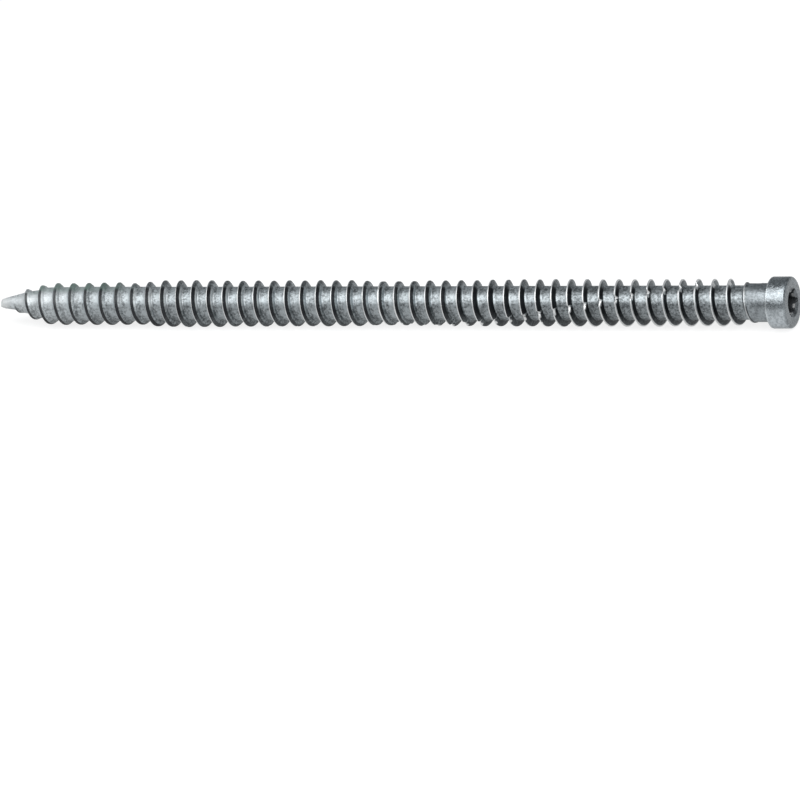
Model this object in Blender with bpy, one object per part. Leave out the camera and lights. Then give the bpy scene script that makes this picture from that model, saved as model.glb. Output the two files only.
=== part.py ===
import math

import bmesh
import bpy
import numpy

# A long concrete screw, rolled and headed from one piece of steel wire.
# Lengths are in metres. While it is shaped, the screw's axis is X, with the tip at zero and the
# head at the far end. It is then laid down on its head rim and its thread.

# The whole screw
screw_length = 0.132
core_diameter = 0.00525
neck_diameter = 0.00596

# The blunt tip and its cone
tip_diameter = 0.0014
tip_chamfer = 0.00012
point_length = 0.0076

# The rolled thread, right-hand
thread_diameter = 0.00725
thread_pitch = 0.002615
crest_width = 0.00014
flank_width = 0.00044
sides_per_turn = 24

# Where the first section of the thread lies, straight above the axis
thread_origin = 0.001778

# The thread grows out of the cone, stays low for some turns and then reaches its full height
thread_start = 0.0026
start_length = 0.0016
start_height = 0.0004
lead_settled = 0.0095
lead_diameter = 0.0066
lead_end = 0.0228
lead_rise_length = 0.0052

# Behind the thread's start the groove climbs the cone in steps, one for every half turn at first
first_groove_place = 0.00287
first_groove_diameter = 0.0036
second_groove_diameter = 0.0043
third_groove_diameter = 0.0053
groove_settled = 0.012

# Some crests near the middle are worn lower
worn_middle = 0.0655
worn_half_length = 0.0075
worn_depth = 0.00022

# The thread sinks into the neck, and the last groove ends half a turn later
neck_length = 0.00262
run_out_length = 0.0026
last_ridge_height = 0.00012
last_ridge_length = 0.0013
last_ridge_fade = 0.0004
groove_end_length = 0.0013

# The seam of small nicks that winds slowly around the crests
nick_depth = 0.0004
nick_half_angle = math.radians(12)
nick_drift_per_turn = math.radians(8.2)
nick_middle = 0.0993
nick_angle_at_middle = math.radians(67.9)
first_nick = 0.064
last_nick = 0.1185

# The cylindrical head
head_diameter = 0.00794
head_height = 0.0032
rear_chamfer = 0.0001
front_rounding = 0.0006
rounding_steps = 4

# The six-lobe drive recess
recess_across_lobes = 0.0045
recess_across_ribs = 0.0032
lobe_radius = 0.00038
recess_depth = 0.0024
recess_floor_drop = 0.0004
recess_turn = math.radians(18)
arc_steps = 4
lobe_count = 6

steel_colour = (0.34, 0.36, 0.37, 1)
steel_roughness = 0.36

head_underside = screw_length - head_height
thread_end = head_underside - neck_length
core_radius = core_diameter / 2
neck_radius = neck_diameter / 2
tip_radius = tip_diameter / 2
full_height = (thread_diameter - core_diameter) / 2
lead_height = (lead_diameter - core_diameter) / 2
half_crest = crest_width / 2
half_foot = half_crest + flank_width


def clear_objects():
    for item in list(bpy.data.objects):
        bpy.data.objects.remove(item, do_unlink=True)


def cone_radius(x):
    return tip_radius + (core_radius - tip_radius) * x / point_length


def body_radius(x):
    # the cone of the point, then the straight core
    return min(cone_radius(x), core_radius)


def thread_height(x):
    stations = [
        (thread_start, 0),
        (thread_start + start_length, start_height),
        (lead_settled, lead_height),
        (lead_end, lead_height),
        (lead_end + lead_rise_length, full_height),
    ]
    return float(numpy.interp(x, [s[0] for s in stations], [s[1] for s in stations]))


def run_out_radius(x):
    # the crest comes down to a low last ridge, which fades into the neck
    ridge_start = thread_end - last_ridge_fade - last_ridge_length
    ridge_radius = neck_radius + last_ridge_height
    stations = [
        (ridge_start - run_out_length, thread_diameter / 2),
        (ridge_start, ridge_radius),
        (thread_end - last_ridge_fade, ridge_radius),
        (thread_end, neck_radius),
    ]
    return float(numpy.interp(x, [s[0] for s in stations], [s[1] for s in stations]))


def groove_radius(x):
    # the bottom of the groove that follows the thread section at x: it climbs the point turn by
    # turn, and near the head it rises to the neck
    groove_end = thread_end - last_ridge_fade - last_ridge_length
    half_turn = thread_pitch / 2
    stations = [
        (thread_origin, cone_radius(thread_origin + thread_pitch - half_foot)),
        (first_groove_place, first_groove_diameter / 2),
        (first_groove_place + half_turn, second_groove_diameter / 2),
        (first_groove_place + 3 * half_turn, third_groove_diameter / 2),
        (groove_settled, core_radius),
        (groove_end - groove_end_length, core_radius),
        (groove_end, neck_radius),
    ]
    return float(numpy.interp(x, [s[0] for s in stations], [s[1] for s in stations]))


def wear_at(x):
    return worn_depth * max(0, 1 - abs(x - worn_middle) / worn_half_length)


def nick_at(x, angle):
    # how deep the seam's nick is at a place on the crest
    if not first_nick < x < last_nick:
        return 0
    seam = nick_angle_at_middle - nick_drift_per_turn * (x - nick_middle) / thread_pitch
    away = abs((angle - seam + math.pi) % math.tau - math.pi)
    return nick_depth * max(0, 1 - away / nick_half_angle)


def point_at(x, radius, angle):
    # angles run from straight up toward -Y, as a right-hand thread does on its way to the head
    return (x, -radius * math.sin(angle), radius * math.cos(angle))


def column_angle(column):
    return math.tau * (column + 0.5) / sides_per_turn


def add_ring(mesh, x, radius):
    return [mesh.verts.new(point_at(x, radius, column_angle(c))) for c in range(sides_per_turn)]


def add_thread_section(mesh, index):
    # the foot, the two crest edges and the other foot of the thread at one place on its helix
    angle = column_angle(index % sides_per_turn)
    middle = thread_origin + thread_pitch * (index + 0.5) / sides_per_turn
    if middle < thread_origin + thread_pitch:
        front_foot = cone_radius(middle - half_foot)
    else:
        front_foot = groove_radius(middle - thread_pitch)
    rear_foot = min(cone_radius(middle + half_foot), groove_radius(middle))
    crest = body_radius(middle) + thread_height(middle) - wear_at(middle)
    crest = min(crest, run_out_radius(middle)) - nick_at(middle, angle)
    crest = max(crest, min(front_foot, rear_foot))
    crest_front = max(crest, body_radius(middle - half_crest))
    crest_rear = max(crest, body_radius(middle + half_crest)) if middle < thread_start else crest
    places = [
        (middle - half_foot, front_foot),
        (middle - half_crest, crest_front),
        (middle + half_crest, crest_rear),
        (middle + half_foot, rear_foot),
    ]
    return [mesh.verts.new(point_at(x, radius, angle)) for x, radius in places]


def join_rings(mesh, first, second):
    for c in range(sides_per_turn):
        after = (c + 1) % sides_per_turn
        mesh.faces.new((first[c], first[after], second[after], second[c]))


def fan_along(mesh, apex, line):
    for near, far in zip(line, line[1:]):
        mesh.faces.new((apex, near, far))


def threaded_shank(mesh, tip_ring, neck_ring):
    # one strip winds from the tip to the neck, and each turn's edge is the next turn's edge
    last_place = head_underside - crest_width - flank_width
    turns = int((last_place - thread_origin) / thread_pitch)
    sides = sides_per_turn
    count = turns * sides
    strip = [add_thread_section(mesh, index) for index in range(count)]
    for index in range(count - 1):
        here = strip[index]
        after = strip[index + 1]
        for edge in range(3):
            mesh.faces.new((here[edge], after[edge], after[edge + 1], here[edge + 1]))
    for index in range(count - sides - 1):
        here = strip[index][3]
        after = strip[index + 1][3]
        mesh.faces.new((here, after, strip[index + 1 + sides][0], strip[index + sides][0]))
    for c in range(sides - 1):
        mesh.faces.new((tip_ring[c], tip_ring[c + 1], strip[c + 1][0], strip[c][0]))
        end = count - sides + c
        mesh.faces.new((strip[end][3], strip[end + 1][3], neck_ring[c + 1], neck_ring[c]))
    # where the strip starts and where it ends, its cut edge is closed by a fan
    first_side = [tip_ring[-1], tip_ring[0]] + strip[0] + [strip[sides][0]]
    fan_along(mesh, strip[sides - 1][0], first_side)
    last_side = [strip[count - sides - 1][3]] + strip[count - 1] + [neck_ring[-1], neck_ring[0]]
    fan_along(mesh, strip[count - sides][3], last_side[::-1])


def turned_head(mesh, neck_ring):
    head_radius = head_diameter / 2
    profile = [
        (head_underside, head_radius - rear_chamfer),
        (head_underside + rear_chamfer, head_radius),
    ]
    for step in range(rounding_steps + 1):
        turn = math.pi / 2 * step / rounding_steps
        x = screw_length - front_rounding + front_rounding * math.sin(turn)
        profile.append((x, head_radius - front_rounding + front_rounding * math.cos(turn)))
    ring = neck_ring
    for x, radius in profile:
        wider = add_ring(mesh, x, radius)
        join_rings(mesh, ring, wider)
        ring = wider
    mesh.faces.new(ring)


def recess_outline():
    # six round lobes joined by hollow arcs that meet them without a corner
    half_lobe = math.pi / lobe_count
    lobe_place = recess_across_lobes / 2 - lobe_radius
    rib_place = recess_across_ribs / 2
    lean = math.cos(half_lobe)
    over = lobe_radius**2 - lobe_place**2 - rib_place**2 + 2 * lobe_place * rib_place * lean
    rib_radius = over / (2 * (rib_place - lobe_place * lean - lobe_radius))
    rib_centre = rib_place + rib_radius
    meet_y = rib_centre * math.sin(half_lobe)
    meet_x = rib_centre * lean - lobe_place
    lobe_sweep = math.atan2(meet_y, meet_x)
    rib_sweep = lobe_sweep - half_lobe
    outline = []
    for lobe in range(lobe_count):
        facing = recess_turn + 2 * half_lobe * lobe
        for step in range(arc_steps):
            turn = facing + lobe_sweep * (2 * step / arc_steps - 1)
            y = lobe_place * math.cos(facing) + lobe_radius * math.cos(turn)
            z = lobe_place * math.sin(facing) + lobe_radius * math.sin(turn)
            outline.append((y, z))
        facing = facing + half_lobe
        for step in range(arc_steps):
            turn = facing + math.pi - rib_sweep * (2 * step / arc_steps - 1)
            y = rib_centre * math.cos(facing) + rib_radius * math.cos(turn)
            z = rib_centre * math.sin(facing) + rib_radius * math.sin(turn)
            outline.append((y, z))
    return outline


def make_recess_cutter():
    mesh = bmesh.new()
    floor = screw_length - recess_depth
    above = screw_length + recess_depth
    outline = recess_outline()
    # the outline's angles run from straight up toward -Y, like the columns of the shank
    low = [mesh.verts.new((floor, -side, up)) for up, side in outline]
    high = [mesh.verts.new((above, -side, up)) for up, side in outline]
    middle = mesh.verts.new((floor - recess_floor_drop, 0, 0))
    count = len(outline)
    for index in range(count):
        after = (index + 1) % count
        mesh.faces.new((low[index], low[after], high[after], high[index]))
        mesh.faces.new((middle, low[after], low[index]))
    mesh.faces.new(high)
    bmesh.ops.recalc_face_normals(mesh, faces=mesh.faces)
    data = bpy.data.meshes.new("recess_cutter")
    mesh.to_mesh(data)
    mesh.free()
    cutter = bpy.data.objects.new("recess_cutter", data)
    bpy.context.collection.objects.link(cutter)
    cutter.hide_render = True
    cutter.display_type = "WIRE"
    return cutter


def make_steel():
    steel = bpy.data.materials.new("zinc_plated_steel")
    steel.use_nodes = True
    shader = steel.node_tree.nodes["Principled BSDF"]
    shader.inputs["Base Color"].default_value = steel_colour
    shader.inputs["Metallic"].default_value = 1
    shader.inputs["Roughness"].default_value = steel_roughness
    steel.diffuse_color = steel_colour
    return steel


def make_screw():
    mesh = bmesh.new()
    tip_face = add_ring(mesh, 0, tip_radius - tip_chamfer)
    tip_ring = add_ring(mesh, tip_chamfer, body_radius(tip_chamfer))
    neck_ring = add_ring(mesh, head_underside, neck_radius)
    mesh.faces.new(tip_face[::-1])
    join_rings(mesh, tip_face, tip_ring)
    threaded_shank(mesh, tip_ring, neck_ring)
    turned_head(mesh, neck_ring)
    bmesh.ops.recalc_face_normals(mesh, faces=mesh.faces)
    data = bpy.data.meshes.new("concrete_screw")
    mesh.to_mesh(data)
    mesh.free()
    data.materials.append(make_steel())
    data.shade_smooth()
    data.set_sharp_from_angle(angle=math.radians(28))
    screw = bpy.data.objects.new("concrete_screw", data)
    bpy.context.collection.objects.link(screw)
    return screw


def lay_down(screw):
    # the head rim is the lowest place, and the screw tips about it until a crest touches too
    corners = [v.co for v in screw.data.vertices]
    heel = min(corners, key=lambda co: (round(co.z, 7), co.x))
    shank = [co for co in corners if co.x < thread_end]
    tilt = min(math.atan2(co.z - heel.z, heel.x - co.x) for co in shank)
    screw.rotation_euler = (0, -tilt, 0)
    lean_x = math.cos(tilt)
    lean_z = math.sin(tilt)
    xs = [co.x * lean_x - co.z * lean_z for co in corners]
    zs = [co.x * lean_z + co.z * lean_x for co in corners]
    screw.location = (-(min(xs) + max(xs)) / 2, 0, -min(zs))


clear_objects()
screw = make_screw()
cutter = make_recess_cutter()
lay_down(screw)
cutter.parent = screw
cut = screw.modifiers.new("drive_recess", "BOOLEAN")
cut.object = cutter
cut.operation = "DIFFERENCE"
cut.solver = "EXACT"
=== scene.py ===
import math

import bpy
import numpy as np
from mathutils import Matrix, Vector


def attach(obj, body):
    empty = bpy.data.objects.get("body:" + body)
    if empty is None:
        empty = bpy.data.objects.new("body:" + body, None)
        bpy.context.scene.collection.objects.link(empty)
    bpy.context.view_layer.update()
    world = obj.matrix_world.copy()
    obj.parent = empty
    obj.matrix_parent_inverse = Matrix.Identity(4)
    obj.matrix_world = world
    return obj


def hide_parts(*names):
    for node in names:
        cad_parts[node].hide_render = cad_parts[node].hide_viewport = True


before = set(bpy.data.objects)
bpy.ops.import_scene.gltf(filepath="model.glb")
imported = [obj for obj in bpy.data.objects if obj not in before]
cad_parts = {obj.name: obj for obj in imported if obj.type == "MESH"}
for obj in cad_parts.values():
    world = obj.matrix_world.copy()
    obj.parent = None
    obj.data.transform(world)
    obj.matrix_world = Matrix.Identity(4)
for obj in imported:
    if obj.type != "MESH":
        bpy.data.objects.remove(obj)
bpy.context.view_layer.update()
print("frame loaded")


# small helpers

def deselectAll():
    if bpy.context.object and bpy.context.object.mode != "OBJECT":
        bpy.ops.object.mode_set(mode="OBJECT")
    bpy.ops.object.select_all(action="DESELECT")


def makeActive(piece):
    deselectAll()
    piece.select_set(True)
    bpy.context.view_layer.objects.active = piece


def editMode(piece, pick="VERT"):
    makeActive(piece)
    bpy.ops.object.mode_set(mode="EDIT")
    bpy.ops.mesh.select_mode(type=pick)


def readPoints(piece):
    points = np.empty(len(piece.data.vertices) * 3)
    piece.data.vertices.foreach_get("co", points)
    return points.reshape(-1, 3)


def writePoints(piece, points):
    piece.data.vertices.foreach_set("co", points.reshape(-1))
    piece.data.update()


def ease(low, high, x):
    share = np.clip((x - low) / (high - low), 0, 1)
    return share * share * (3 - 2 * share)


def scatter(number, seed):
    # the same uneven value from 0 to 1 each time for one number
    wide = np.sin(number * 12.9898 + seed) * 43758.5453
    return wide - np.floor(wide)


# the screw, in metres, with its axis along X and the tip at zero until it is laid down

screw = {
    "length": 0.132,
    "coreDiameter": 0.00525,
    "threadDiameter": 0.00725,
    "pitch": 0.002615,
    "threadOrigin": 0.001778,    # where the first section lies, straight above the axis
    "crestWidth": 0.00013,
    "flankWidth": 0.00037,
    "flankSteps": 4,
    "crestRound": 0.00001,
    "frontFillet": 0.00003,
    "rearFillet": 0.00014,
    "filletMiddle": (0.2, 0.45),  # how far the fillet's middle point lies back and up, in its own size
    "stepsPerTurn": 120,
    "turnsBefore": 2,            # wound beyond both ends, and then cut off
    "turnsAfter": 3,
    "mergeGap": 0.000002,
    "cutGap": 0.0000005,
    "smoothBelow": math.radians(32),
    "neckDiameter": 0.00596,
    "neckLength": 0.00245,
    "headDiameter": 0.00794,
    "headHeight": 0.0032,
    "tipRadius": 0.0007,
    "coneSlope": 0.2526,
    "axisHeightAtTip": 0.0034942,
    "axisRise": math.radians(0.1964),
    "tipPlace": -0.066004,
}

thread = {
    "heightPlaces": (0.0026, 0.0042, 0.0068, 0.0095, 0.0152, 0.018, 0.0205, 0.0225, 0.0251, 0.0276),
    "heights": (0, 0.0004, 0.00046, 0.00064, 0.00063, 0.00071, 0.0007, 0.00057, 0.00077, 0.001),
    "lip": 0.00006,              # the very edge of the crest stands up this much
    "lipFrom": 0.95,
    "flushRise": 2.5,
    "waves": ((0.00002, 1270, 1), (0.000015, 2210, 2)),  # height, radians a metre and waves a turn
    "runOut": 0.0026,            # over this the crest sinks to the last low ridge
    "runOutAbove": 0.0002,
    "lastRidge": 0.00012,
    "lastRidgeLength": 0.0013,
    "lastRidgeFade": 0.0004,
    "grooveEnd": 0.0013,
    "groovePlaces": (0.0, 0.0011, 0.00287, 0.00418, 0.0055, 0.0068, 0.0082, 0.012, 0.022, 0.03),
    "grooveRadii": (0.0009, 0.0016, 0.00175, 0.0021, 0.0023, 0.00262, 0.0026, 0.00268, 0.00266, 0.002625),
    "thickStart": (0.0005, 0.003),
    "thickPlaces": (0.066, 0.105),  # the ridge is thicker on its head side up to here, then less and less
    "thickFront": 0.00005,
    "thickCrest": 0.0001,
    "thickFoot": 0.00036,
    "thickFrontFrom": 0.2,
    "wornPlaces": (0.0285, 0.036, 0.0385, 0.059, 0.0617, 0.0644, 0.0696, 0.0722, 0.0801, 0.0827,
                   0.0905, 0.0957, 0.1),
    "wornDepths": (0, -0.00002, 0.00006, 0.00006, 0.00014, 0.00025, 0.00019, 0.0001, 0.00009, 0.00004,
                   0, -0.00006, 0),
}

nicks = {
    "depth": 0.00066,
    "depthShares": (0.5, 0.6),   # each is cut this share deep, and up to this much more
    "push": 0.00022,             # how far a struck crest leans toward the head
    "pushReach": 1.3,
    "pushShares": (0.15, 0.8),   # from the foot of the flank to its top
    "above": math.radians(6),    # the notch is steeper on this side
    "below": math.radians(14),
    "drift": math.radians(8.2),  # per turn
    "middle": 0.0993,
    "angleAtMiddle": math.radians(67.9),
    "first": 0.063,
    "last": 0.1185,
    "fadeIn": (-0.002, 0.004),
    "fadeOut": (-0.002, 0.001),
    "sway": math.radians(4),
    "swaySeed": 4.1,
    "depthSeed": 1.7,
}

chips = {
    "around": math.radians(150),
    "spread": 1.1,
    "halfAngle": math.radians(4),
    "first": 0.03,
    "last": 0.12,
    "depth": 0.00022,
    "fewest": 0.5,               # the share of turns without one
    "struckSeed": 9.3,
    "placeSeed": 2.2,
    "depthSeed": 5.9,
}

underHead = screw["length"] - screw["headHeight"]
threadEnd = underHead - screw["neckLength"]
ridgeStart = threadEnd - thread["lastRidgeFade"] - thread["lastRidgeLength"]
coreRadius = screw["coreDiameter"] / 2
crestRadius = screw["threadDiameter"] / 2
neckRadius = screw["neckDiameter"] / 2
fullHeight = crestRadius - coreRadius
halfCrest = screw["crestWidth"] / 2
footPlace = halfCrest + screw["flankWidth"]


def coneAt(x):
    return screw["tipRadius"] + screw["coneSlope"] * x


def heightAt(x):
    return np.interp(x, thread["heightPlaces"], thread["heights"])


def runOutAt(x):
    ridge = neckRadius + thread["lastRidge"]
    places = [ridgeStart - thread["runOut"], ridgeStart, threadEnd - thread["lastRidgeFade"], threadEnd]
    return np.interp(x, places, [crestRadius + thread["runOutAbove"], ridge, ridge, neckRadius])


def grooveAt(x):
    rise = np.interp(x, [ridgeStart - thread["grooveEnd"], ridgeStart], [0, neckRadius - coreRadius])
    return np.interp(x, thread["groovePlaces"], thread["grooveRadii"]) + rise


def wearAt(x, angle):
    # the crests are worn flat near the middle, and uneven everywhere
    wear = np.interp(x, thread["wornPlaces"], thread["wornDepths"])
    for height, along, around in thread["waves"]:
        wear = wear + height * np.sin(x * along + around * angle)
    return wear


def thickerAt(middle, aside, share):
    # toward the tip the ridge is thicker on its head side, and rounder
    pitch = screw["pitch"]
    past = aside % pitch
    foot = thread["thickFoot"]
    front = thread["thickFront"] * ease(thread["thickFrontFrom"], 1, share)
    rear = thread["thickCrest"] + (foot - thread["thickCrest"]) * np.clip(2 - 2 * share, 0, 1)
    spread = foot * (pitch - footPlace - past) / (pitch - 2 * footPlace)
    thicker = np.where(past > pitch - footPlace, front, np.where(past > footPlace, spread, rear))
    return thicker * np.interp(middle, thread["thickPlaces"], (1, 0)) * ease(*thread["thickStart"], middle)


def nickAt(turn, middle, angle):
    # the seam of notches, each cut through the crest and its flanks
    seam = nicks["angleAtMiddle"] - nicks["drift"] * (middle - nicks["middle"]) / screw["pitch"]
    sway = (scatter(turn, nicks["swaySeed"]) - 0.5) * nicks["sway"]
    away = (angle - seam + math.pi) % math.tau - math.pi + sway
    inRange = ease(nicks["first"] + nicks["fadeIn"][0], nicks["first"] + nicks["fadeIn"][1], middle)
    beyond = ease(nicks["last"] + nicks["fadeOut"][0], nicks["last"] + nicks["fadeOut"][1], middle)
    inRange = inRange * (1 - beyond)
    shape = np.where(away < 0, 1 + away / nicks["above"], 1 - away / nicks["below"])
    least, more = nicks["depthShares"]
    return np.clip(shape, 0, 1) * inRange * (least + more * scatter(turn, nicks["depthSeed"]))


def chipAt(turn, middle, angle):
    # small chips where the crest was struck by its neighbours in the bin
    struck = scatter(turn, chips["struckSeed"]) > chips["fewest"]
    place = chips["around"] + chips["spread"] * (scatter(turn, chips["placeSeed"]) - 0.5)
    chip = np.clip(1 - np.abs(angle - place) / chips["halfAngle"], 0, 1)
    chip = chip * struck * (middle > chips["first"]) * (middle < chips["last"])
    return chip * chips["depth"] * scatter(turn, chips["depthSeed"])


def halfOutline(fillet):
    # from the middle of the crest to the middle of the groove
    half = [(0, crestRadius + screw["crestRound"]), (halfCrest, crestRadius - screw["crestRound"])]
    for step in range(1, screw["flankSteps"]):
        share = step / screw["flankSteps"]
        half.append((halfCrest + share * screw["flankWidth"], crestRadius - share * fullHeight))
    back, up = screw["filletMiddle"]
    half.append((footPlace - back * fillet, coreRadius + up * fillet))
    half.append((footPlace + fillet, coreRadius))
    half.append((screw["pitch"] / 2, coreRadius))
    return half


def rollThread():
    # one pitch of the thread's outline, drawn by pulling a single point along
    front = halfOutline(screw["frontFillet"])
    outline = [(-x, r) for x, r in front[:0:-1]] + halfOutline(screw["rearFillet"])
    middle = screw["threadOrigin"] - screw["turnsBefore"] * screw["pitch"]
    deselectAll()
    bpy.ops.mesh.primitive_plane_add(size=0.001, location=(0, 0, 0))
    shank = bpy.context.object
    shank.name = "screw_body"
    shank.data.name = "screw_body"
    bpy.ops.object.mode_set(mode="EDIT")
    bpy.ops.mesh.merge(type="CENTER")
    bpy.ops.transform.translate(value=(middle + outline[0][0], 0, outline[0][1]))
    for before, after in zip(outline, outline[1:]):
        step = (after[0] - before[0], 0, after[1] - before[1])
        bpy.ops.mesh.extrude_vertices_move(TRANSFORM_OT_translate={"value": step})
    bpy.ops.object.mode_set(mode="OBJECT")
    wind = shank.modifiers.new("thread", "SCREW")
    wind.axis = "X"
    wind.angle = math.tau
    wind.screw_offset = screw["pitch"]
    wind.steps = screw["stepsPerTurn"]
    wind.render_steps = screw["stepsPerTurn"]
    wind.iterations = int((underHead - middle) / screw["pitch"]) + screw["turnsAfter"]
    wind.use_merge_vertices = False
    bpy.ops.object.modifier_apply(modifier=wind.name)
    editMode(shank)
    bpy.ops.mesh.select_all(action="SELECT")
    bpy.ops.mesh.remove_doubles(threshold=screw["mergeGap"])
    bpy.ops.object.mode_set(mode="OBJECT")
    print("thread wound, points:", len(shank.data.vertices))
    return shank


def shapeThread(shank):
    # the rolled thread: its start on the cone, its run-out at the neck, its nicks and its wear
    points = readPoints(shank)
    x = points[:, 0].copy()
    radius = np.hypot(points[:, 1], points[:, 2])
    angle = np.arctan2(-points[:, 1], points[:, 2]) % math.tau
    pitch = screw["pitch"]
    turn = np.round((x - screw["threadOrigin"]) / pitch - angle / math.tau)
    middle = screw["threadOrigin"] + pitch * (turn + angle / math.tau)
    aside = x - middle
    share = np.clip((radius - coreRadius) / fullHeight, 0, 1)
    # each groove follows the section in front of it
    lead = np.where(aside > 0, middle, middle - pitch)
    groove = grooveAt(lead)
    nearEdge = np.minimum(coneAt(lead + footPlace), groove)
    farEdge = np.minimum(coneAt(lead + pitch - footPlace), groove)
    along = np.clip((x - lead - footPlace) / (pitch - 2 * footPlace), 0, 1)
    ground = nearEdge + (farEdge - nearEdge) * along
    ground = np.where(lead > 0, ground, coneAt(x))
    body = np.minimum(coneAt(middle), coreRadius)
    crest = np.minimum(body + heightAt(middle), runOutAt(middle))
    crest = np.maximum(crest, ground)
    radial = ground + share * (crest - ground)
    crest = np.maximum(crest - wearAt(middle, angle), ground)
    radial = np.minimum(radial + thread["lip"] * (share > thread["lipFrom"]), crest)
    onCone = (middle < thread["heightPlaces"][0]) & (np.abs(aside) < footPlace)
    risen = np.clip(share * thread["flushRise"], 0, 1)
    flush = np.minimum(coneAt(x), ground + (coneAt(x) - ground) * risen)
    radial = np.where(onCone, flush, radial)
    notch = nickAt(turn, middle, angle)
    notched = np.maximum(crest - nicks["depth"] * notch, ground)
    chip = chipAt(turn, middle, angle)
    pushed = nicks["push"] * np.clip(notch * nicks["pushReach"], 0, 1) * ease(*nicks["pushShares"], share)
    points[:, 0] = x + thickerAt(middle, aside, share) + pushed
    radial = np.minimum(radial, np.where(notch > 0, notched, 1))
    radial = np.minimum(radial, np.where(chip > 0, np.maximum(crest - chip, ground), 1))
    points[:, 1] = -radial * np.sin(angle)
    points[:, 2] = radial * np.cos(angle)
    writePoints(shank, points)
    print("thread shaped")


shank = rollThread()
shapeThread(shank)


# both ends are cut square, the head is drawn out of the neck's edge and the tip is closed

head = {
    "sidePlaces": (0.3, 0.6),    # points along the side, as shares of the head's height
    "faceRing": 0.0003,
    "filletSteps": 3,
    "rearRound": 0.00012,
    "frontLength": 0.00038,
    "frontDrop": 0.00072,
    "roundSteps": 8,
    "neckFillet": 0.00014,
}

tip = {
    "cutPlace": 0.0001,
    "rings": ((-0.00002, 0.93), (-0.00008, 0.87), (-0.0001, 0.5)),  # place, and share of the last one
    "unevenTo": 0.002,
    "unevenDepths": (0.04, 0.03),
    "unevenWaves": (3, 7),       # around the tip
    "unevenStart": 0.6,
    "unevenAlong": 5200,
    "blunt": 0.05,
    "bluntTo": 0.0009,
    "lipLength": 0.00014,
    "lipAngle": math.radians(125),
    "lipWidth": 0.6,
    "upperLength": 0.00008,
    "upperAngle": -0.2,
    "upperWidth": 0.9,
    "endBand": (-0.0002, 0.001),
    "bend": 0.00015,             # the point is bent up a little
    "bendBand": (0.004, 0.009),
    "bendWay": (0.42, 0.91),
}


def cutAt(shank, x, keepHigher):
    editMode(shank)
    bpy.ops.mesh.select_all(action="SELECT")
    bpy.ops.mesh.bisect(plane_co=(x, 0, 0), plane_no=(1, 0, 0), clear_inner=keepHigher,
                        clear_outer=not keepHigher, use_fill=False, threshold=screw["cutGap"])


def pullRing(fromPlace, toPlace):
    # each place is a distance along the axis and a radius
    bpy.ops.mesh.extrude_edges_move(TRANSFORM_OT_translate={"value": (toPlace[0] - fromPlace[0], 0, 0)})
    grow = toPlace[1] / fromPlace[1]
    bpy.ops.transform.resize(value=(1, grow, grow), center_override=(toPlace[0], 0, 0))


def drawHead(shank):
    radius = screw["headDiameter"] / 2
    rear = head["rearRound"]
    long = head["frontLength"]
    drop = head["frontDrop"]
    fillet = head["neckFillet"]
    start = underHead - fillet
    cutAt(shank, start, False)
    places = [(start, neckRadius)]
    steps = head["filletSteps"]
    for step in range(1, steps + 1):
        turn = math.pi / 2 * step / steps
        places.append((start + fillet * math.sin(turn), neckRadius + fillet * (1 - math.cos(turn))))
    for step in range(steps + 1):
        turn = math.pi / 2 * step / steps
        places.append((underHead + rear * (1 - math.cos(turn)), radius - rear + rear * math.sin(turn)))
    for share in head["sidePlaces"]:
        places.append((underHead + share * screw["headHeight"], radius))
    for step in range(head["roundSteps"] + 1):
        turn = math.pi / 2 * step / head["roundSteps"]
        along = screw["length"] - long + long * math.sin(turn)
        places.append((along, radius - drop + drop * math.cos(turn)))
    places.append((screw["length"], radius - drop - head["faceRing"]))
    for before, after in zip(places, places[1:]):
        pullRing(before, after)
    bpy.ops.mesh.edge_face_add()
    bpy.ops.object.mode_set(mode="OBJECT")
    print("head drawn")


def closeTip(shank):
    # a blunt sheared end with a lip of metal left on its lower side
    place = tip["cutPlace"]
    cutAt(shank, place, True)
    for nextPlace, share in tip["rings"]:
        pullRing((place, 1), (nextPlace, share))
        place = nextPlace
    bpy.ops.mesh.edge_face_add()
    bpy.ops.object.mode_set(mode="OBJECT")
    points = readPoints(shank)
    x = points[:, 0].copy()
    angle = np.arctan2(-points[:, 1], points[:, 2])
    # the last millimetres are uneven, and the end is blunted
    near = 1 - ease(tip["rings"][-1][0], tip["unevenTo"], x)
    few, many = tip["unevenWaves"]
    coarse = tip["unevenDepths"][0] * np.sin(few * angle + tip["unevenStart"])
    fine = tip["unevenDepths"][1] * np.sin(many * angle + x * tip["unevenAlong"])
    flank = 1 + near * (coarse + fine)
    blunt = 1 - tip["blunt"] * (1 - ease(0, tip["bluntTo"], x))
    outward = np.clip(np.hypot(points[:, 1], points[:, 2]) / screw["tipRadius"], 0, 1) ** 2
    atEnd = 1 - ease(*tip["endBand"], x)
    lip = np.exp(-((angle - tip["lipAngle"]) / tip["lipWidth"]) ** 2)
    upper = np.exp(-((angle - tip["upperAngle"]) / tip["upperWidth"]) ** 2)
    bend = tip["bend"] * (1 - ease(*tip["bendBand"], x))
    points[:, 0] = x + atEnd * outward * (tip["upperLength"] * upper - tip["lipLength"] * lip)
    points[:, 1] = points[:, 1] * flank * blunt + bend * tip["bendWay"][0]
    points[:, 2] = points[:, 2] * flank * blunt + bend * tip["bendWay"][1]
    writePoints(shank, points)
    print("tip closed")


drawHead(shank)
closeTip(shank)


# the six-lobe drive recess is cut with a flared plug

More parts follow.
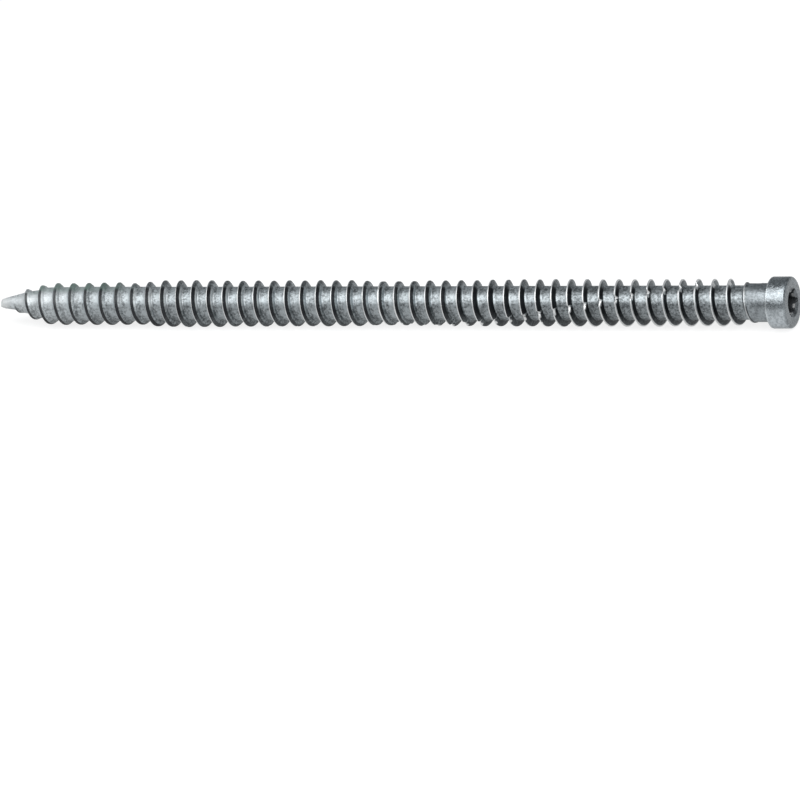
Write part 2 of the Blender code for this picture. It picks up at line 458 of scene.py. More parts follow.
recess = {
    "lobeCount": 6,
    "acrossLobes": 0.0045,
    "acrossRibs": 0.0032,
    "lobeRadius": 0.00038,
    "depth": 0.0024,
    "floorDrop": 0.0004,
    "floorInset": 0.0003,
    "floorShares": (0.4, 0.6),
    "flare": 0.00007,            # the worn edge round the mouth
    "dishSides": 64,
    "dishMouth": 0.0023,
    "dishFloor": 0.0019,
    "dishDepth": 0.0003,
    "turn": math.radians(18),
    "arcSteps": 8,
}


def lobeOutline():
    halfLobe = math.pi / recess["lobeCount"]
    lobePlace = recess["acrossLobes"] / 2 - recess["lobeRadius"]
    ribPlace = recess["acrossRibs"] / 2
    lobe = recess["lobeRadius"]
    lean = math.cos(halfLobe)
    over = lobe ** 2 - lobePlace ** 2 - ribPlace ** 2 + 2 * lobePlace * ribPlace * lean
    rib = over / (2 * (ribPlace - lobePlace * lean - lobe))
    ribCentre = ribPlace + rib
    lobeSweep = math.atan2(ribCentre * math.sin(halfLobe), ribCentre * lean - lobePlace)
    ribSweep = lobeSweep - halfLobe
    steps = recess["arcSteps"]
    outline = []
    for index in range(recess["lobeCount"]):
        facing = recess["turn"] + 2 * halfLobe * index
        for step in range(steps):
            turn = facing + lobeSweep * (2 * step / steps - 1)
            outline.append((lobePlace * math.cos(facing) + lobe * math.cos(turn),
                            lobePlace * math.sin(facing) + lobe * math.sin(turn)))
        facing += halfLobe
        for step in range(steps):
            turn = facing + math.pi - ribSweep * (2 * step / steps - 1)
            outline.append((ribCentre * math.cos(facing) + rib * math.cos(turn),
                            ribCentre * math.sin(facing) + rib * math.sin(turn)))
    return outline


def subtract(shank, plug):
    makeActive(shank)
    cut = shank.modifiers.new("recess", "BOOLEAN")
    cut.object = plug
    cut.operation = "DIFFERENCE"
    cut.solver = "EXACT"
    bpy.ops.object.modifier_apply(modifier=cut.name)
    bpy.data.objects.remove(plug, do_unlink=True)


def cutDish(shank):
    # the round lead-in at the mouth
    depth = recess["dishDepth"]
    deselectAll()
    bpy.ops.mesh.primitive_cone_add(vertices=recess["dishSides"], radius1=recess["dishFloor"],
                                    radius2=2 * recess["dishMouth"] - recess["dishFloor"], depth=2 * depth,
                                    location=(screw["length"], 0, 0), rotation=(0, math.pi / 2, 0))
    subtract(shank, bpy.context.object)


def cutRecess(shank):
    outline = lobeOutline()
    face = screw["length"]
    floor = face - recess["depth"]
    deselectAll()
    bpy.ops.mesh.primitive_circle_add(vertices=len(outline), radius=0.002, fill_type="NGON")
    plug = bpy.context.object
    points = readPoints(plug)
    for index, (up, side) in enumerate(outline):
        points[index] = (floor, -side, up)
    writePoints(plug, points)
    editMode(plug, "FACE")
    bpy.ops.mesh.select_all(action="SELECT")
    bpy.ops.mesh.extrude_region_move(
        TRANSFORM_OT_translate={"value": (recess["depth"] - recess["flare"], 0, 0)})
    widen = 1 + 2 * recess["flare"] / recess["acrossRibs"]
    for _ in range(2):
        bpy.ops.mesh.extrude_region_move(TRANSFORM_OT_translate={"value": (recess["flare"], 0, 0)})
        bpy.ops.transform.resize(value=(1, widen, widen), center_override=(face, 0, 0))
    bpy.ops.mesh.select_all(action="DESELECT")
    bpy.ops.object.mode_set(mode="OBJECT")
    for polygon in plug.data.polygons:
        polygon.select = abs(polygon.center.x - floor) < 0.00001
    bpy.ops.object.mode_set(mode="EDIT")
    bpy.ops.mesh.inset(thickness=recess["floorInset"])
    bpy.ops.transform.translate(value=(-recess["floorDrop"] * recess["floorShares"][0], 0, 0))
    bpy.ops.transform.resize(value=(1, 0.5, 0.5), center_override=(floor, 0, 0))
    bpy.ops.transform.translate(value=(-recess["floorDrop"] * recess["floorShares"][1], 0, 0))
    bpy.ops.mesh.select_all(action="SELECT")
    bpy.ops.mesh.normals_make_consistent(inside=False)
    bpy.ops.object.mode_set(mode="OBJECT")
    subtract(shank, plug)
    print("recess cut")


def layDown(shank):
    # the finished screw lies on its head rim and its thread
    editMode(shank)
    bpy.ops.mesh.select_all(action="SELECT")
    bpy.ops.mesh.normals_make_consistent(inside=False)
    bpy.ops.object.mode_set(mode="OBJECT")
    place = Matrix.Translation((screw["tipPlace"], 0, screw["axisHeightAtTip"]))
    place = place @ Matrix.Rotation(-screw["axisRise"], 4, "Y")
    shank.data.transform(place)
    makeActive(shank)
    bpy.ops.object.shade_smooth_by_angle(angle=screw["smoothBelow"])
    print("screw laid down, faces:", len(shank.data.polygons))


cutDish(shank)
cutRecess(shank)
layDown(shank)


# plain functions for wiring up materials

def addNode(tree, kind, **values):
    node = tree.nodes.new(kind)
    for name, value in values.items():
        setattr(node, name, value)
    return node


def feed(tree, socket, value):
    # a socket takes either a number or colour of its own, or another node's output
    if isinstance(value, (int, float, tuple)):
        socket.default_value = value
    else:
        tree.links.new(value, socket)


def compute(tree, operation, first, second=None):
    node = addNode(tree, "ShaderNodeMath", operation=operation)
    feed(tree, node.inputs[0], first)
    if second is not None:
        feed(tree, node.inputs[1], second)
    return node.outputs[0]


def product(tree, first, *others):
    for other in others:
        first = compute(tree, "MULTIPLY", first, other)
    return first


def total(tree, first, *others):
    for other in others:
        first = compute(tree, "ADD", first, other)
    return first


def without(tree, mask):
    return compute(tree, "SUBTRACT", 1.0, mask)


def larger(tree, first, second):
    return compute(tree, "MAXIMUM", first, second)


def facing(tree, angle, middle):
    # 1 on the line that looks this way round the axis, and 0 a quarter turn from it
    return compute(tree, "COSINE", compute(tree, "SUBTRACT", angle, middle))


def noise(tree, vector, pattern):
    scale, detail, rough = pattern
    node = addNode(tree, "ShaderNodeTexNoise")
    feed(tree, node.inputs["Vector"], vector)
    feed(tree, node.inputs["Scale"], scale)
    feed(tree, node.inputs["Detail"], detail)
    feed(tree, node.inputs["Roughness"], rough)
    return node.outputs["Fac"]


def remap(tree, value, band, out=(0, 1)):
    # a soft step from the first value to the second across a band
    node = addNode(tree, "ShaderNodeMapRange", interpolation_type="SMOOTHSTEP")
    feed(tree, node.inputs["Value"], value)
    feed(tree, node.inputs["From Min"], band[0])
    feed(tree, node.inputs["From Max"], band[1])
    feed(tree, node.inputs["To Min"], out[0])
    feed(tree, node.inputs["To Max"], out[1])
    return node.outputs["Result"]


def mixColours(tree, factor, first, second):
    node = addNode(tree, "ShaderNodeMix", data_type="RGBA")
    feed(tree, node.inputs["Factor"], factor)
    feed(tree, node.inputs[6], first)
    feed(tree, node.inputs[7], second)
    return node.outputs[2]


def beside(place, band):
    # a band given in millimetres from a place in metres
    return place * 1000 + band[0], place * 1000 + band[1]


def degrees(*values):
    return tuple(math.radians(value) for value in values)


# zinc-plated steel, mottled, with bright crests (rubbed metal and a painted highlight) and painted shade
# on the flanks
# places are in millimetres from the tip, or from the named end, and angles run from straight up
# toward -Y, as the thread does on its way to the head

zinc = {
    "light": (0.58, 0.632, 0.655, 1),
    "dark": (0.15, 0.165, 0.173, 1),
    # rubbed metal on the crests and notches, also used for painted highlights and glints
    "worn": (0.85, 0.86, 0.86, 1),
    # the colour of painted shade on the flanks, lower side, neck, face and last ridge
    "paintedShade": (0.024, 0.026, 0.029, 1),
    "streaks": (1.0, 4, 0.6),    # each pattern's scale per millimetre, its detail and its roughness
    "mottle": (2.6, 5, 0.62),
    "grain": (7.5, 3, 0.6),
    "patches": (0.55, 3, 0.5),
    "streakStretch": (6.0, 0.7),  # along the screw and across it
    "toneShares": (0.5, 0.3, 0.2),  # of mottle, grain and patches
    "toneBand": (0.4, 0.6),
    "roughShares": (0.5, 0.5),   # of grain and mottle
    "roughBand": (0.35, 0.65),
    "roughness": (0.37, 0.55),
    "roughNeckBand": (-0.4, 0),  # from the end of the thread
    "roughNeck": (1, 0.8),
    "roughHeadBand": (-0.2, 0),  # from the head's rear face
    "roughHead": (1, 0.74),
    "roughTipBand": (12.0, 35.0),
    "roughTip": (0.85, 1),
    "metalBand": (10.0, 40.0),
    "metal": (0.45, 1),          # the tip's oxide is less metallic
    "reliefShares": (0.6, 0.3, 0.35),  # of mottle, grain and streaks
    "bump": 0.6,
    "bumpDepth": 0.00012,
}

grooves = {
    "behindFrom": 0.16,          # distances behind the crest are counted from this far in front of it
    "leanBand": (0.5, 2.1),
    "leanStep": (-0.1, 0.1),
    "lean": (-0.042, 0.055),     # painted shade behind each crest, painted highlight before the next
    "leanFade": (70.0, 115.0),
    "leanKept": (1, 0.45),
    "footRise": (0.4, 0.6),      # a painted highlight on the foot of the thick ridges
    "footFall": (0.68, 0.95),
    "footFrom": (16.0, 28.0),
    "footTo": (80.0, 110.0),
    "footLean": (0.025, 0.1),
    "footHighlight": (0, 0.5),
    "footHighlightTo": (38.0, 50.0),
    # the side facing the soft box, where the painted highlights go
    "brightMiddle": math.radians(47),
    "brightBand": (0.707, 0.94),
    "tipBand": (18.0, 30.0),
    # painted light: lighter near the tip, darker toward the head
    "tipLift": (0.012, 0),
    "endBand": (75.0, 105.0),
    "endDrop": (0, -0.012),
    "belowMiddle": math.radians(130),
    "belowBand": (0.309, 0.616),
    # painted shade on the lower side, stronger toward the head
    "shadeBelowBand": (6.0, 30.0),
    "shadeBelow": (0, 0.2),
    "shadeBelowLaterBand": (60.0, 110.0),
    "shadeBelowLater": (0, 0.12),
    "stripRise": degrees(2, 22),  # painted shade along the upper edge of the highlight strip
    "stripFall": degrees(34, 46),
    "stripBand": (60.0, 100.0),
    "strip": (0, 0.28),
}

# painted shade on the flanks behind each crest, fading on the upper side
flankShade = {
    "edgeBand": (10.0, 40.0),    # where it starts behind the crest, along the screw
    "edge": (-0.09, 0.09),
    "edgeLaterBand": (70.0, 110.0),
    "edgeLater": (0, 0.04),
    "edgeSoft": 0.05,
    "lowBand": (0.04, 0.16),     # above the core
    "lowFrom": (7.0, 9.0),
    "start": (2.3, 3.0),
    "patchBand": (0.3, 0.6),
    "patchKept": (0.9, 1.0),
    "reachBand": (14.0, 36.0),   # near the tip the painted shade is only a narrow line close behind the crest
    "reach": (0.41, 0.58),
    "reachLaterBand": (60.0, 110.0),
    "reachLater": (0, 0.15),
    "reachSoftBand": (22.0, 40.0),
    "reachSoft": (0.05, 0.09),
    "upperMiddle": math.radians(-25),
    "upperBand": (0.66, 0.82),
    "upperKept": (1, 0.25),
    "underMiddle": math.radians(160),
    "underBand": (0.3, 0.95),
    "underKept": (1, 0.6),
    "underFrom": (25.0, 40.0),
    "endFade": (-2.9, -2.1),     # from the end of the thread
    "thinBand": (20.0, 75.0),
    "thin": (0.975, 1),
    "lineRise": (0.06, 0.12),    # a thin line of painted shade along the last ridge
    "lineFall": (0.22, 0.34),
    "lineAngle": degrees(62, 85),
    "line": (0.15, 0.8),
    "lineFrom": (-2.4, -2.0),
    "lineTo": (0.1, 0.3),
}

# the bright crest line: rubbed metal and a painted highlight
crests = {
    "front": (-0.14, -0.1),
    "rearSoft": 0.02,
    "above": (0.3, 0.4),         # above the core
    "endFade": (-2.6, -1.0),     # from the end of the thread
    "endKept": (1, 0.4),
    "end": (-0.1, 0.1),
}

cleanNotch = {
    "upperEdge": degrees(-5, -2),  # from the seam's own angle
    "lowerEdge": degrees(13, 17),
    "middle": 93.5,
    "reach": (30.0, 32.0),
    "cutBand": degrees(-3, 5),
    "cutAtTop": 0.1,             # how far above the core each cut ends
    "cutFade": (100.0, 116.0),
    "cutBelow": (0.6, 0.25),
    "cutSoft": 0.15,
    "struckFront": (-0.1, 0.1),  # behind the crest
    "struckRear": (0.26, 0.42),
    "struck": (0.95, 0.15),
}

headFinish = {
    "light": (0.46, 0.504, 0.53, 1),
    "dark": (0.22, 0.24, 0.253, 1),
    # painted reflection of the floor on the head's underside
    "underLight": (0.78, 0.84, 0.88, 1),
    "underDark": (0.5, 0.55, 0.58, 1),
    "neckEdge": (-0.05, 0.05),
    "neckShade": (0.14, 0),      # painted shade: the neck is this much darker than the head
    "faceEdge": (-0.2, -0.05),
    "faceShade": (0, 0.24),      # and so is the face, as painted shade
    "shankTo": (-1.2, -0.6),     # from the end of the thread
    "beneathAngle": degrees(77, 86),
    "beneath": (0, 0.5),
    "beneathFrom": (-0.1, 0),
    "beneathTo": (-0.4, -0.2),
    # a painted highlight on the head's rear rim
    "rimFrom": (-0.05, 0.02),
    "rimTo": (0.12, 0.4),
    "rimRadius": (0.4, 0.7),     # beyond the neck
    "rim": 0.35,
}

tipFinish = {
    "light": (0.85, 0.895, 0.91, 1),
    "dark": (0.34, 0.365, 0.375, 1),
    "end": (0.93, 0.95, 0.95, 1),
    "stain": (0.13, 0.23, 0.185, 1),
    # painted light: the first turns are paler, brightest in the lit strip and at the blunt end
    "paleBand": (2.0, 18.0),
    "pale": (0.9, 0),
    "paleBelow": 0.35,           # and it is this much less pale below, as painted shade
    "strip": (0, 0.75),
    "endBand": (0.4, 2.2),
    "endPale": (0.8, 0),
    "stainFrom": (4.0, 6.5),
    "stainTo": (17.0, 25.0),
    "stainLower": degrees(12, 30),
    "stainStrength": (0.9, 0),
    "stainUpper": degrees(-100, -60),
    "stainRadius": (0.06, 0.2),  # above the core
    "stainInGroove": (0.5, 1),
    "stainPatches": (0.4, 0.9),
}

recessFinish = {
    # painted shade inside the recess
    "colour": (0.1, 0.106, 0.112, 1),
    "depth": (-1.3, -0.1),       # from the face
    "dark": (1, 0.6),
    "mouth": (-0.08, -0.03),
    "radius": (2.32, 2.4),
    "behind": 129.0,
    "gleamFrom": (-0.75, -0.6),  # painted glints on its ribs near the mouth
    "gleamTo": (-0.36, -0.28),
    "gleamRadius": (1.66, 1.76),
    "metalLost": 0.5,
    "gleamMetalLost": 0.6,
}


def locate(tree):
    # where a point lies: in millimetres on the screw's own axis, round it, and behind the crest
    coords = addNode(tree, "ShaderNodeTexCoord")
    rise = screw["axisRise"]
    tipX = screw["tipPlace"] * 1000
    tipZ = screw["axisHeightAtTip"] * 1000
    own = addNode(tree, "ShaderNodeMapping", vector_type="POINT")
    own.inputs["Rotation"].default_value = (0, rise, 0)
    own.inputs["Scale"].default_value = (1000, 1000, 1000)
    own.inputs["Location"].default_value = (
        -(tipX * math.cos(rise) + tipZ * math.sin(rise)), 0,
        -(-tipX * math.sin(rise) + tipZ * math.cos(rise)))
    feed(tree, own.inputs["Vector"], coords.outputs["Object"])
    own = own.outputs["Vector"]
    split = addNode(tree, "ShaderNodeSeparateXYZ")
    feed(tree, split.inputs["Vector"], own)
    x, y, z = split.outputs
    radius = compute(tree, "SQRT", total(tree, product(tree, y, y), product(tree, z, z)))
    angle = compute(tree, "ARCTAN2", product(tree, y, -1.0), z)
    pitch = screw["pitch"]
    turns = compute(tree, "SUBTRACT", product(tree, x, 0.001 / pitch), screw["threadOrigin"] / pitch)
    turns = compute(tree, "SUBTRACT", turns, product(tree, angle, 1 / math.tau))
    lead = grooves["behindFrom"]
    past = compute(tree, "FRACT", total(tree, turns, lead * 0.001 / pitch))
    past = compute(tree, "SUBTRACT", product(tree, past, pitch * 1000), lead)
    # stretched coordinates for the fine streaks that rolling leaves round the shank
    along, across = zinc["streakStretch"]
    around = addNode(tree, "ShaderNodeCombineXYZ")
    feed(tree, around.inputs[0], product(tree, x, along))
    feed(tree, around.inputs[1], product(tree, y, across))
    feed(tree, around.inputs[2], product(tree, z, across))
    return {
        "x": x, "radius": radius, "angle": angle, "past": past,
        "streaks": noise(tree, around.outputs["Vector"], zinc["streaks"]),
        "mottle": noise(tree, own, zinc["mottle"]),
        "grain": noise(tree, own, zinc["grain"]),
        "patches": noise(tree, own, zinc["patches"]),
        # bright is 1 where the surface faces the soft box, the lit side
        "bright": facing(tree, angle, grooves["brightMiddle"]),
        "below": remap(tree, facing(tree, angle, grooves["belowMiddle"]), grooves["belowBand"]),
        "edge": total(tree, remap(tree, x, flankShade["edgeBand"], flankShade["edge"]),
                      remap(tree, x, flankShade["edgeLaterBand"], flankShade["edgeLater"])),
    }


def paintShank(tree, spot, tone):
    x, past, angle = spot["x"], spot["past"], spot["angle"]
    # painted shade behind each crest and painted highlight before the next, lighter near the tip and
    # darker toward the head
    shadeBelowLater, brighter = grooves["lean"]
    lean = total(tree, remap(tree, past, grooves["leanBand"], grooves["lean"]),
                 remap(tree, past, grooves["leanStep"], (brighter - shadeBelowLater, 0)))
    lean = product(tree, lean, remap(tree, x, grooves["leanFade"], grooves["leanKept"]))
    # painted highlight on the foot of the thick ridges, only on the lit side
    foot = product(tree, remap(tree, past, grooves["footRise"]),
                   remap(tree, past, grooves["footFall"], (1, 0)),
                   remap(tree, x, grooves["footFrom"]), remap(tree, x, grooves["footTo"], (1, 0)))
    footLean = product(tree, foot, remap(tree, spot["bright"], grooves["brightBand"], grooves["footLean"]))
    lean = total(tree, lean, footLean, remap(tree, x, grooves["tipBand"], grooves["tipLift"]),
                 remap(tree, x, grooves["endBand"], grooves["endDrop"]))
    leaned = remap(tree, total(tree, tone, lean), zinc["toneBand"])
    colour = mixColours(tree, leaned, zinc["dark"], zinc["light"])
    footHighlight = product(tree, foot, remap(tree, spot["bright"], grooves["brightBand"], grooves["footHighlight"]),
                       remap(tree, x, grooves["footHighlightTo"], (1, 0)))
    colour = mixColours(tree, footHighlight, colour, zinc["worn"])
    # painted shade on the shank's lower side, and along the upper edge of its highlight strip
    shadeBelow = total(tree, remap(tree, x, grooves["shadeBelowBand"], grooves["shadeBelow"]),
                 remap(tree, x, grooves["shadeBelowLaterBand"], grooves["shadeBelowLater"]))
    shadeBelow = product(tree, shadeBelow, spot["below"])
    strip = product(tree, remap(tree, angle, grooves["stripRise"]),
                    remap(tree, angle, grooves["stripFall"], (1, 0)),
                    remap(tree, x, grooves["stripBand"], grooves["strip"]))
    return mixColours(tree, larger(tree, shadeBelow, strip), colour, zinc["paintedShade"])


def paintHead(tree, spot, shade, line):
    x = spot["x"]
    plain = mixColours(tree, shade, headFinish["dark"], headFinish["light"])
    # painted shade on the neck and on the face
    onNeck = remap(tree, x, beside(underHead, headFinish["neckEdge"]), headFinish["neckShade"])
    onFace = remap(tree, x, beside(screw["length"], headFinish["faceEdge"]), headFinish["faceShade"])
    plain = mixColours(tree, larger(tree, onNeck, onFace), plain, zinc["paintedShade"])
    # painted reflection of the pale floor: the head is paler underneath
    beneath = product(tree, remap(tree, spot["angle"], headFinish["beneathAngle"], headFinish["beneath"]),
                      remap(tree, x, beside(underHead, headFinish["beneathFrom"])),
                      remap(tree, x, beside(screw["length"], headFinish["beneathTo"]), (1, 0)))
    paler = mixColours(tree, shade, headFinish["underDark"], headFinish["underLight"])
    plain = mixColours(tree, beneath, plain, paler)
    # painted shade along the last ridge
    return mixColours(tree, line, plain, zinc["paintedShade"])


def findNotches(tree, spot):
    # the notches are cut down to clean metal
    x, angle = spot["x"], spot["angle"]
    perTurn = nicks["drift"] / (screw["pitch"] * 1000)
    seam = product(tree, compute(tree, "SUBTRACT", x, nicks["middle"] * 1000), -perTurn)
    away = compute(tree, "SUBTRACT", compute(tree, "SUBTRACT", angle, nicks["angleAtMiddle"]), seam)
    fromMiddle = compute(tree, "ABSOLUTE", compute(tree, "SUBTRACT", x, cleanNotch["middle"]))
    notch = product(tree, remap(tree, away, cleanNotch["upperEdge"]),
                    remap(tree, away, cleanNotch["lowerEdge"], (1, 0)),
                    without(tree, remap(tree, fromMiddle, cleanNotch["reach"])))
    cutBelow = remap(tree, x, cleanNotch["cutFade"], cleanNotch["cutBelow"])
    cutLow = remap(tree, away, cleanNotch["cutBand"], (cleanNotch["cutAtTop"], cutBelow))
    cutLow = total(tree, cutLow, coreRadius * 1000)
    cutHigh = total(tree, cutLow, cleanNotch["cutSoft"])
    return product(tree, notch, remap(tree, spot["radius"], (cutLow, cutHigh)))


def findShadeLine(tree, spot):
    # painted shade: a thin dark line runs along the last ridge
    x, past = spot["x"], spot["past"]
    return product(tree, remap(tree, past, flankShade["lineRise"]), remap(tree, past, flankShade["lineFall"], (1, 0)),
                   remap(tree, spot["angle"], flankShade["lineAngle"], flankShade["line"]),
                   remap(tree, x, beside(threadEnd, flankShade["lineFrom"])),
                   remap(tree, x, beside(threadEnd, flankShade["lineTo"]), (1, 0)))


def findFlankShade(tree, spot):
    # painted shade darkens the flanks behind each crest
    x, past, angle, edge = spot["x"], spot["past"], spot["angle"], spot["edge"]
    low = remap(tree, spot["radius"], beside(coreRadius, flankShade["lowBand"]))
    low = larger(tree, low, remap(tree, x, flankShade["lowFrom"], (1, 0)))
    edgeEnd = total(tree, edge, flankShade["edgeSoft"])
    reach = total(tree, remap(tree, x, flankShade["reachBand"], flankShade["reach"]),
                  remap(tree, x, flankShade["reachLaterBand"], flankShade["reachLater"]))
    reachStart = compute(tree, "SUBTRACT", reach, remap(tree, x, flankShade["reachSoftBand"], flankShade["reachSoft"]))
    upper = facing(tree, angle, flankShade["upperMiddle"])
    # the painted shade is lighter on the side that the screw lies on
    under = remap(tree, facing(tree, angle, flankShade["underMiddle"]), flankShade["underBand"], flankShade["underKept"])
    under = larger(tree, under, remap(tree, x, flankShade["underFrom"], (1, 0)))
    return product(tree, low, remap(tree, x, flankShade["start"]), remap(tree, past, (edge, edgeEnd)),
                   remap(tree, spot["patches"], flankShade["patchBand"], flankShade["patchKept"]),
                   remap(tree, past, (reachStart, reach), (1, 0)),
                   remap(tree, upper, flankShade["upperBand"], flankShade["upperKept"]), under,
                   remap(tree, x, beside(threadEnd, flankShade["endFade"]), (1, 0)),
                   remap(tree, x, flankShade["thinBand"], flankShade["thin"]))


def findRubbedAndHighlit(tree, spot, notch):
    # a thin line along the crest's edge is painted bright, partly rubbed metal and partly a painted
    # highlight, and the notches are rubbed bright
    x, past, edge = spot["x"], spot["past"], spot["edge"]
    rear = (compute(tree, "SUBTRACT", edge, crests["rearSoft"]), total(tree, edge, crests["rearSoft"]))
    rubbedAndHighlit = product(tree, remap(tree, past, crests["front"]), remap(tree, past, rear, (1, 0)),
                     remap(tree, spot["radius"], beside(coreRadius, crests["above"])),
                     remap(tree, x, beside(threadEnd, crests["endFade"]), crests["endKept"]),
                     remap(tree, x, beside(threadEnd, crests["end"]), (1, 0)))
    struck = product(tree, notch, remap(tree, past, cleanNotch["struckFront"]),
                     remap(tree, past, cleanNotch["struckRear"], cleanNotch["struck"]))
    return larger(tree, rubbedAndHighlit, struck)


def paintTip(tree, spot, colour, shade, paintedShadeMask):
    x = spot["x"]
    # painted light on the first turns: paler, less so below as painted shade, and brighter in the lit
    # strip as a painted highlight
    below = without(tree, product(tree, spot["below"], tipFinish["paleBelow"]))
    pale = product(tree, remap(tree, x, tipFinish["paleBand"], tipFinish["pale"]),
                   without(tree, paintedShadeMask), below)
    lit = larger(tree, shade, remap(tree, spot["bright"], grooves["brightBand"], tipFinish["strip"]))
    colour = mixColours(tree, pale, colour, mixColours(tree, lit, tipFinish["dark"], tipFinish["light"]))
    # painted light on the blunt end
    atEnd = remap(tree, x, tipFinish["endBand"], tipFinish["endPale"])
    colour = mixColours(tree, atEnd, colour, tipFinish["end"])
    # a faint greenish stain lies along the first turns
    stained = product(tree, remap(tree, x, tipFinish["stainFrom"]),
                      remap(tree, x, tipFinish["stainTo"], (1, 0)),
                      remap(tree, spot["angle"], tipFinish["stainLower"], tipFinish["stainStrength"]),
                      remap(tree, spot["angle"], tipFinish["stainUpper"]),
                      remap(tree, spot["radius"], beside(coreRadius, tipFinish["stainRadius"]),
                            tipFinish["stainInGroove"]),
                      remap(tree, spot["mottle"], zinc["toneBand"], tipFinish["stainPatches"]))
    return mixColours(tree, stained, colour, tipFinish["stain"])


def findRecessShade(tree, spot):
    # painted shade inside the drive recess, darkest farthest in, and painted glints on its ribs near the
    # mouth
    x, face = spot["x"], screw["length"]
    gleam = product(tree, remap(tree, x, beside(face, recessFinish["gleamFrom"])),
                    remap(tree, x, beside(face, recessFinish["gleamTo"]), (1, 0)),
                    remap(tree, spot["radius"], recessFinish["gleamRadius"], (1, 0)))
    inside = product(tree, remap(tree, x, beside(face, recessFinish["depth"]), recessFinish["dark"]),
                     remap(tree, x, beside(face, recessFinish["mouth"]), (1, 0)),
                     remap(tree, spot["radius"], recessFinish["radius"], (1, 0)),
                     compute(tree, "GREATER_THAN", x, recessFinish["behind"]), without(tree, gleam))
    return inside, gleam


def findRimHighlight(tree, spot):
    # a painted highlight on the head's rear rim
    return product(tree, remap(tree, spot["x"], beside(underHead, headFinish["rimFrom"])),
                   remap(tree, spot["x"], beside(underHead, headFinish["rimTo"]), (1, 0)),
                   remap(tree, spot["radius"], beside(neckRadius, headFinish["rimRadius"])),
                   headFinish["rim"])


def zincPlatedSteel():
    material = bpy.data.materials.new("zincPlatedSteel")
    material.use_nodes = True
    tree = material.node_tree
    shader = tree.nodes["Principled BSDF"]
    spot = locate(tree)
    x, mottle, grain = spot["x"], spot["mottle"], spot["grain"]
    mottleShare, grainShare, patchShare = zinc["toneShares"]
    tone = total(tree, product(tree, mottle, mottleShare), product(tree, grain, grainShare),
                 product(tree, spot["patches"], patchShare))
    shade = remap(tree, tone, zinc["toneBand"])
    notch = findNotches(tree, spot)
    line = findShadeLine(tree, spot)
    # painted shade on the flanks and along the last ridge, kept off the clean notches
    paintedShadeMask = product(tree, larger(tree, findFlankShade(tree, spot), line), without(tree, notch))
    colour = mixColours(tree, paintedShadeMask, paintShank(tree, spot, tone), zinc["paintedShade"])
    onShank = remap(tree, x, beside(threadEnd, headFinish["shankTo"]), (1, 0))
    colour = mixColours(tree, onShank, paintHead(tree, spot, shade, line), colour)
    # the crest line, rubbed metal and painted highlight
    colour = mixColours(tree, findRubbedAndHighlit(tree, spot, notch), colour, zinc["worn"])
    colour = paintTip(tree, spot, colour, shade, paintedShadeMask)
    inside, gleam = findRecessShade(tree, spot)
    # painted shade in the recess and painted glints on its ribs
    colour = mixColours(tree, inside, colour, recessFinish["colour"])
    colour = mixColours(tree, gleam, colour, zinc["worn"])
    # painted highlight on the rear rim
    rim = findRimHighlight(tree, spot)
    colour = mixColours(tree, rim, colour, tipFinish["light"])
    feed(tree, shader.inputs["Base Color"], colour)
    metal = remap(tree, x, zinc["metalBand"], zinc["metal"])
    lost = product(tree, larger(tree, inside, rim), recessFinish["metalLost"])
    metal = compute(tree, "SUBTRACT", metal, lost)
    metal = compute(tree, "SUBTRACT", metal, product(tree, gleam, recessFinish["gleamMetalLost"]))
    feed(tree, shader.inputs["Metallic"], metal)
    grainShare, mottleShare = zinc["roughShares"]
    blend = total(tree, product(tree, grain, grainShare), product(tree, mottle, mottleShare))
    rough = product(tree, remap(tree, blend, zinc["roughBand"], zinc["roughness"]),
                    remap(tree, x, beside(threadEnd, zinc["roughNeckBand"]), zinc["roughNeck"]),
                    remap(tree, x, beside(underHead, zinc["roughHeadBand"]), zinc["roughHead"]),
                    remap(tree, x, zinc["roughTipBand"], zinc["roughTip"]))
    feed(tree, shader.inputs["Roughness"], rough)
    mottleShare, grainShare, streakShare = zinc["reliefShares"]
    relief = total(tree, product(tree, mottle, mottleShare), product(tree, grain, grainShare),
                   product(tree, spot["streaks"], streakShare))
    bump = addNode(tree, "ShaderNodeBump")
    bump.inputs["Strength"].default_value = zinc["bump"]
    bump.inputs["Distance"].default_value = zinc["bumpDepth"]
    feed(tree, bump.inputs["Height"], relief)
    feed(tree, shader.inputs["Normal"], bump.outputs["Normal"])
    return material


shank.data.materials.clear()
shank.data.materials.append(zincPlatedSteel())
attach(shank, "root")
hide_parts("concrete_screw")
print("screw finished")


# plain pale floor, soft lamps and the camera

studio = {
    "floorSize": 5.0,
    "floorSides": 96,
    "floorDrop": 0.00004,        # clear of what rests on it
    "floorColour": (0.3, 0.3, 0.3, 1),
    "floorGlow": 0.8,
    "floorGlowInMetal": 0.43,
    "worldColour": (0.25, 0.262, 0.272, 1),
    "boxDistance": 0.55,
    "boxElevation": math.radians(60),
    "boxShift": 0.28,
    "boxLength": 1.64,
    "boxWidth": 0.55,
    "boxPower": 6.1,
    "squareOff": math.radians(22.5),
    "lookDown": math.radians(25),
    "cameraDistance": 1.7484,
    "sensor": 36,
    "lens": 510.12,
    "clip": (0.05, 50),
    "aimRight": 0.001169,
    "aimUp": -0.014924,
    "roll": math.radians(0.0917),
}


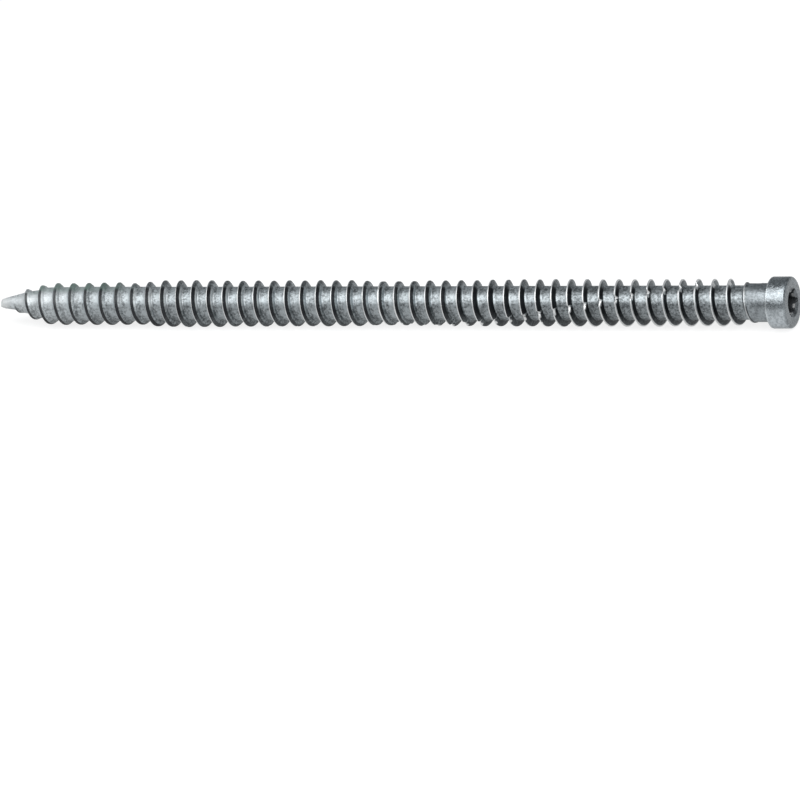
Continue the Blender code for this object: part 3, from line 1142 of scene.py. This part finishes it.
def makeFloor():
    deselectAll()
    bpy.ops.mesh.primitive_circle_add(vertices=studio["floorSides"], radius=studio["floorSize"] / 2,
                                      fill_type="NGON", location=(0, 0, -studio["floorDrop"]))
    floor = bpy.context.object
    floor.name = "floor"
    bpy.ops.object.transform_apply(location=True)
    paint = bpy.data.materials.new("paleFloor")
    paint.use_nodes = True
    tree = paint.node_tree
    tree.nodes.remove(tree.nodes["Principled BSDF"])
    matt = addNode(tree, "ShaderNodeBsdfDiffuse")
    matt.inputs["Color"].default_value = studio["floorColour"]
    glow = addNode(tree, "ShaderNodeEmission")
    rays = addNode(tree, "ShaderNodeLightPath")
    inMetal = compute(tree, "MAXIMUM", rays.outputs["Is Glossy Ray"], rays.outputs["Is Transmission Ray"])
    inMetal = product(tree, inMetal, studio["floorGlowInMetal"])
    direct = product(tree, rays.outputs["Is Camera Ray"], studio["floorGlow"])
    feed(tree, glow.inputs["Strength"], compute(tree, "MAXIMUM", direct, inMetal))
    both = addNode(tree, "ShaderNodeAddShader")
    feed(tree, both.inputs[0], matt.outputs["BSDF"])
    feed(tree, both.inputs[1], glow.outputs["Emission"])
    feed(tree, tree.nodes["Material Output"].inputs["Surface"], both.outputs["Shader"])
    floor.data.materials.append(paint)


def makeLamps():
    world = bpy.data.worlds.new("studio")
    bpy.context.scene.world = world
    world.use_nodes = True
    world.node_tree.nodes["Background"].inputs["Color"].default_value = studio["worldColour"]
    elevation = studio["boxElevation"]
    away = Vector((0, -math.cos(elevation), math.sin(elevation)))
    place = away * studio["boxDistance"] + Vector((studio["boxShift"], 0, 0))
    bpy.ops.object.light_add(type="AREA", location=place)
    box = bpy.context.object
    box.name = "softBox"
    box.data.shape = "RECTANGLE"
    box.data.size = studio["boxLength"]
    box.data.size_y = studio["boxWidth"]
    box.data.energy = studio["boxPower"]
    box.rotation_euler = away.to_track_quat("Z", "Y").to_euler()


def makeCamera():
    square = studio["squareOff"]
    down = studio["lookDown"]
    rise = screw["axisRise"]
    axis = Vector((math.cos(rise), 0, math.sin(rise)))
    back = Vector((math.sin(square), -math.cos(square) * math.cos(down),
                   math.cos(square) * math.sin(down)))
    right = (axis - back * axis.dot(back)).normalized()
    up = back.cross(right)
    roll = studio["roll"]
    turnedRight = right * math.cos(roll) + up * math.sin(roll)
    turnedUp = up * math.cos(roll) - right * math.sin(roll)
    centre = Vector((screw["tipPlace"], 0, screw["axisHeightAtTip"])) + axis * screw["length"] / 2
    place = centre + turnedRight * studio["aimRight"] + turnedUp * studio["aimUp"]
    place = place + back * studio["cameraDistance"]
    camera = bpy.data.objects.new("camera", bpy.data.cameras.new("camera"))
    bpy.context.collection.objects.link(camera)
    facing = Matrix((turnedRight, turnedUp, back)).transposed()
    camera.matrix_world = Matrix.Translation(place) @ facing.to_4x4()
    camera.data.sensor_width = studio["sensor"]
    camera.data.lens = studio["lens"]
    camera.data.clip_start, camera.data.clip_end = studio["clip"]
    bpy.context.scene.camera = camera


makeFloor()
makeLamps()
makeCamera()
bpy.context.scene.view_settings.view_transform = "Standard"
print("studio set")
